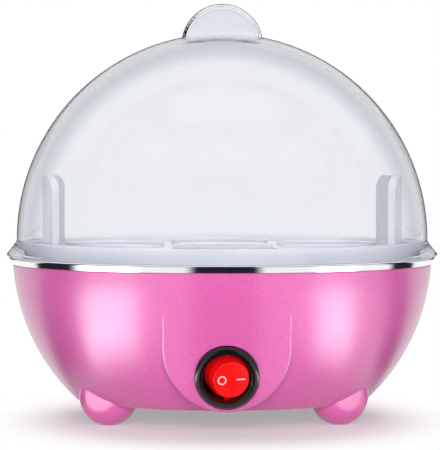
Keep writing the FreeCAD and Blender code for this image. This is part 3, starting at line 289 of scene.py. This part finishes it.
def clear_plastic():
    """Clear moulded lid: painted shade greys its wall where it is seen at a slant, and it shows faint flow
    marks.
    """
    surface = Surface("clear_plastic")
    slant = surface.add("ShaderNodeLayerWeight").outputs["Facing"]
    height = surface.add("ShaderNodeSeparateXYZ", {"Vector": surface.place}).outputs["Z"]
    height_stops = [(z / TINT_TOP, colour) for z, colour in HEIGHT_STOPS]
    # Painted shade and light: the slant ramp darkens the wall's own tint in a band inside the outline,
    # lightens a rim and darkens the edge
    shade_and_tint_ramps = {
        "Factor": 1.0,
        "A": surface.ramp(slant, CLEAR_SLANT_SHADE_STOPS),
        "B": surface.ramp(surface.remap(height, end=TINT_TOP), height_stops),
    }
    shaded_tint = surface.add("ShaderNodeMix", shade_and_tint_ramps, data_type="RGBA", blend_type="MULTIPLY")
    surface.roughness(surface.noise(scale=220.0), low=0.02, high=0.05)
    surface.bump(surface.noise(scale=26.0, detail=1.0), depth_mm=0.05, strength=0.2)
    surface.set(Base_Color=shaded_tint.outputs["Result"])
    surface.set(IOR=surface.remap(height, LIP_FROM, LIP_TO, LIP_IOR, WALL_IOR))
    surface.set(Transmission_Weight=1.0, Specular_IOR_Level=0.3)
    return surface.material


def tray_plastic():
    """Milky tray plastic that lets some light through."""
    surface = Surface("tray_plastic")
    surface.colours(surface.noise(scale=45.0), linear(230, 234, 240), linear(241, 243, 247))
    fine = surface.noise(scale=1200.0)
    surface.roughness(fine, low=0.30, high=0.42)
    surface.bump(fine, depth_mm=0.02, strength=0.4)
    surface.set(Transmission_Weight=0.3, IOR=1.4)
    return surface.material


def polished_steel():
    """Polished steel. Where light slips past the faces where the lip rests on it, the steel's inside faces
    glow a pale grey: painted light.
    """
    surface = Surface("polished_steel")
    surface.colours(surface.noise(scale=70.0), (0.86, 0.87, 0.89, 1.0), (0.92, 0.93, 0.94, 1.0))
    marks = surface.rings(scale=6000.0)
    surface.roughness(marks, low=0.05, high=0.10)
    surface.bump(marks, depth_mm=0.004, strength=0.3)
    # Painted light: inside faces glow pale grey, so that the lip above them doesn't go black
    inside = surface.add("ShaderNodeNewGeometry").outputs["Backfacing"]
    surface.set(Metallic=1.0, Emission_Color=linear(172, 173, 176), Emission_Strength=inside)
    return surface.material


def lit_red():
    """Red rocker, unevenly lit from inside."""
    surface = Surface("red_plastic")
    cloud = surface.noise(scale=180.0, detail=2.0)
    surface.colours(cloud, *shades(linear(218, 8, 12), varied=0.1))
    surface.roughness(surface.noise(scale=900.0), low=0.18, high=0.26)
    surface.colours(cloud, linear(205, 8, 10), linear(235, 24, 20), "Emission_Color")
    surface.set(Emission_Strength=0.3, IOR=1.4, Coat_Weight=0.1, Coat_Roughness=0.1)
    return surface.material


def woven(name, colour):
    """Woven sleeve with slanting threads."""
    surface = Surface(name)
    inputs = {"Vector": surface.place, "Scale": 900.0, "Distortion": 2.0}
    weave = surface.add("ShaderNodeTexWave", inputs, wave_type="BANDS", bands_direction="DIAGONAL")
    surface.colours(weave.outputs["Fac"], shade(colour, factor=0.85), colour)
    surface.bump(weave.outputs["Fac"], depth_mm=0.1)
    surface.set(Roughness=0.8)
    return surface.material


def lamp_glass():
    """Clear glass of the small lamp, glowing orange."""
    surface = Surface("lamp_glass")
    surface.colours(surface.noise(scale=300.0), (1.0, 0.55, 0.35, 1.0), (1.0, 0.75, 0.55, 1.0))
    surface.roughness(surface.noise(scale=600.0), low=0.02, high=0.08)
    surface.set(Transmission_Weight=0.8, IOR=1.45)
    surface.set(Emission_Color=(1.0, 0.35, 0.15, 1.0), Emission_Strength=0.4)
    return surface.material


MATERIALS = {
    "clear_plastic": clear_plastic(),
    "tray_plastic": tray_plastic(),
    "polished_steel": polished_steel(),
    "pink_plastic": pearl_plastic(),
    "pink_cover": moulded("pink_cover", linear(205, 92, 158), rough=0.45, IOR=1.5),
    "black_plastic": moulded("black_plastic", linear(16, 15, 19), rough=0.16, grain=700.0, varied=0.2,
                             depth_mm=0.01, Coat_Weight=0.35, Coat_Roughness=0.06),
    "red_plastic": lit_red(),
    "white_print": moulded("white_print", linear(250, 226, 222), rough=0.4),
    "silicone": moulded("silicone", linear(222, 222, 216), rough=0.55),
    "zinc_steel": metal("zinc_steel", (0.66, 0.67, 0.70, 1.0), rough=0.28),
    "spreader_aluminium": metal("spreader_aluminium", (0.75, 0.76, 0.78, 1.0), rough=0.30, turned=True),
    "sheath_steel": metal("sheath_steel", (0.30, 0.28, 0.26, 1.0), rough=0.40),
    "ceramic": moulded("ceramic", linear(236, 228, 212), rough=0.6),
    "brass": metal("brass", (0.72, 0.54, 0.22, 1.0), rough=0.25),
    "copper_alloy": metal("copper_alloy", (0.72, 0.42, 0.26, 1.0), rough=0.25),
    "phenolic": moulded("phenolic", linear(40, 28, 24), rough=0.4),
    "lamp_glass": lamp_glass(),
    "spring_steel": metal("spring_steel", (0.55, 0.55, 0.58, 1.0), rough=0.3),
    "fibreglass": woven("fibreglass", linear(232, 226, 206)),
    "block_plastic": moulded("block_plastic", linear(230, 230, 220), rough=0.45),
    "gland_plastic": moulded("gland_plastic", linear(24, 23, 26), rough=0.42),
    "wire_brown": moulded("wire_brown", linear(104, 60, 38), rough=0.5),
    "wire_blue": moulded("wire_blue", linear(38, 76, 160), rough=0.5),
    "wire_white": moulded("wire_white", linear(230, 230, 224), rough=0.5),
}


def dress_nodes():
    """Give each CAD node its material. The lid casts no shadow, so that it doesn't dim the tray."""
    for part in frame["record"]["subparts"]:
        mesh = frame["nodes"][part["node"]].data
        mesh.materials.clear()
        mesh.materials.append(MATERIALS[part["material_slot"]])
    frame["nodes"]["lid"].visible_shadow = False


class Paint(Tree):
    """A staging material whose shaders are put together one by one."""

    def __init__(self, name):
        self.material = bpy.data.materials.new(name)
        self.material.use_nodes = True
        super().__init__(self.material.node_tree)
        self.nodes.remove(self.nodes["Principled BSDF"])

    def glow(self, colour, strength):
        return self.add("ShaderNodeEmission", {"Color": colour, "Strength": strength}).outputs["Emission"]

    def mix(self, factor, first, second):
        """The first shader where the factor is 0, and the second where it is 1."""
        return self.add("ShaderNodeMixShader", {"Fac": factor, 1: first, 2: second}).outputs["Shader"]

    def show(self, shader):
        self.feed(self.nodes["Material Output"].inputs["Surface"], shader)


def make_world():
    """White to the camera and through clear plastic, dimmer in reflections, and dimmest as light."""
    world = bpy.data.worlds.new("studio")
    bpy.context.scene.world = world
    world.use_nodes = True
    tree = Tree(world.node_tree)
    glossy = tree.add("ShaderNodeLightPath").outputs["Is Glossy Ray"]
    sky = tree.remap(glossy, low=AMBIENT, high=REFLECTED_SKY)
    background = tree.nodes["Background"]
    tree.feed(background.inputs["Color"], WHITE)
    tree.feed(background.inputs["Strength"], tree.remap(tree.seen("Is Transmission Ray"), low=sky))


def floor_paint():
    """White that keeps the shadow near the object and turns plain further out."""
    paint = Paint("floor")
    grain = paint.add("ShaderNodeTexNoise", {"Scale": FLOOR_GRAIN}).outputs["Fac"]
    albedo = paint.remap(grain, low=FLOOR_ALBEDO - FLOOR_UNEVEN, high=FLOOR_ALBEDO + FLOOR_UNEVEN)
    matt = paint.add("ShaderNodeBsdfDiffuse", {"Color": albedo}).outputs["BSDF"]
    own = paint.glow(WHITE, strength=FLOOR_OWN_WHITE)
    near = paint.add("ShaderNodeAddShader", {0: matt, 1: own}).outputs["Shader"]
    place = paint.add("ShaderNodeNewGeometry").outputs["Position"]
    reach = paint.length(paint.scaled(place, FLOOR_FADE_SHAPE))
    fade = paint.remap(reach, FLOOR_FADE_FROM, FLOOR_FADE_TO, kind="SMOOTHSTEP")
    white = paint.mix(fade, near, paint.glow(WHITE, strength=1.0))
    paint.show(paint.mix(paint.seen("Is Glossy Ray", "Is Transmission Ray"), matt, white))
    return paint.material


def make_floor():
    h = FLOOR_HALF
    mesh = bpy.data.meshes.new("floor")
    mesh.from_pydata([(-h, -h, 0), (h, -h, 0), (h, h, 0), (-h, h, 0)], [], [(0, 1, 2, 3)])
    mesh.materials.append(floor_paint())
    floor = bpy.data.objects.new("floor", mesh)
    bpy.context.scene.collection.objects.link(floor)


def aimed(obj, at, aim):
    obj.location = at
    obj.rotation_euler = (aim - at).to_track_quat("-Z", "Y").to_euler()


def around(azimuth, distance, height):
    """Point round the object; azimuth 0 is in front and 90 to the right."""
    turn = math.radians(azimuth)
    return Vector((distance * math.sin(turn), -distance * math.cos(turn), height))


def softbox(name, at, size, power):
    """Lamp that lights surfaces but isn't itself seen, mirrored or seen through the lid."""
    light = bpy.data.lights.new(name, "AREA")
    light.shape = "RECTANGLE"
    light.size, light.size_y = size
    light.energy = power
    lamp = bpy.data.objects.new(name, light)
    bpy.context.scene.collection.objects.link(lamp)
    aimed(lamp, at, LAMP_AIM)
    lamp.visible_camera = False
    lamp.visible_glossy = False
    lamp.visible_transmission = False


def card_paint(name, start, end, near, light):
    """Even light that fades out towards the two ends and the near edge of a card."""
    paint = Paint(name)
    middle, half = math.radians((start + end) / 2), math.radians((end - start) / 2)
    place = paint.add("ShaderNodeTexCoord").outputs["Object"]
    turn = {"Vector": place, "Angle": -middle}
    turned = paint.add("ShaderNodeVectorRotate", turn, rotation_type="Z_AXIS").outputs["Vector"]
    axes = paint.add("ShaderNodeSeparateXYZ", {"Vector": turned}).outputs
    forward = paint.calculate("MULTIPLY", axes["Y"], -1.0)
    off = paint.calculate("ABSOLUTE", paint.calculate("ARCTAN2", axes["X"], forward))
    ends = paint.remap(off, half, half - math.radians(CARD_END_FADE), kind="SMOOTHSTEP")
    inner = paint.remap(paint.length(place), near, near + CARD_NEAR_FADE, kind="SMOOTHSTEP")
    cover = paint.calculate("MULTIPLY", ends, inner)
    clear = paint.add("ShaderNodeBsdfTransparent").outputs["BSDF"]
    paint.show(paint.mix(cover, clear, paint.glow(*light)))
    return paint.material


def card(name, start, end, near, far, height, light):
    """Sheet on the floor between two azimuths, turned up at its far edge if it has a height."""
    profile = [(near, CARD_LIFT), (far, CARD_LIFT)]
    if height:
        profile.append((far, CARD_LIFT + height))
    rows = len(profile)
    verts, faces = [], []
    for i in range(CARD_COLUMNS + 1):
        azimuth = start + (end - start) * i / CARD_COLUMNS
        verts += [around(azimuth, distance, z) for distance, z in profile]
    for i in range(CARD_COLUMNS):
        for j in range(rows - 1):
            a = rows * i + j
            faces.append((a, a + 1, a + rows + 1, a + rows))
    mesh = bpy.data.meshes.new(name)
    mesh.from_pydata(verts, [], faces)
    mesh.materials.append(card_paint(name, start, end, near, light))
    sheet = bpy.data.objects.new(name, mesh)
    bpy.context.scene.collection.objects.link(sheet)
    sheet.location = (0.0, -CARD_FORWARD, 0.0)
    sheet.visible_camera = False
    sheet.visible_diffuse = False
    sheet.visible_transmission = False
    sheet.visible_shadow = False


def make_lights():
    for name, side in (("left_box", -1), ("right_box", 1)):
        at = around(side * SIDE_BOX_AZIMUTH, SIDE_BOX_DISTANCE, SIDE_BOX_HEIGHT)
        softbox(name, at, SIDE_BOX_SIZE, SIDE_BOX_POWER)
    front = around(0.0, FRONT_BOX_DISTANCE, FRONT_BOX_HEIGHT)
    softbox("front_box", front, FRONT_BOX_SIZE, FRONT_BOX_POWER)
    top = Vector((0.0, TOP_BOX_BACK, TOP_BOX_HEIGHT))
    softbox("top_box", top, TOP_BOX_SIZE, TOP_BOX_POWER)
    for settings in CARDS:
        card(*settings)


def make_camera():
    camera = bpy.data.objects.new("camera", bpy.data.cameras.new("camera"))
    bpy.context.scene.collection.objects.link(camera)
    camera.data.lens = LENS_MM
    camera.data.sensor_width = SENSOR_MM
    aimed(camera, CAMERA_AT, CAMERA_AIM)
    bpy.context.scene.camera = camera
    bpy.context.scene.view_settings.view_transform = "Standard"


dress_nodes()
make_world()
make_floor()
make_lights()
make_camera()
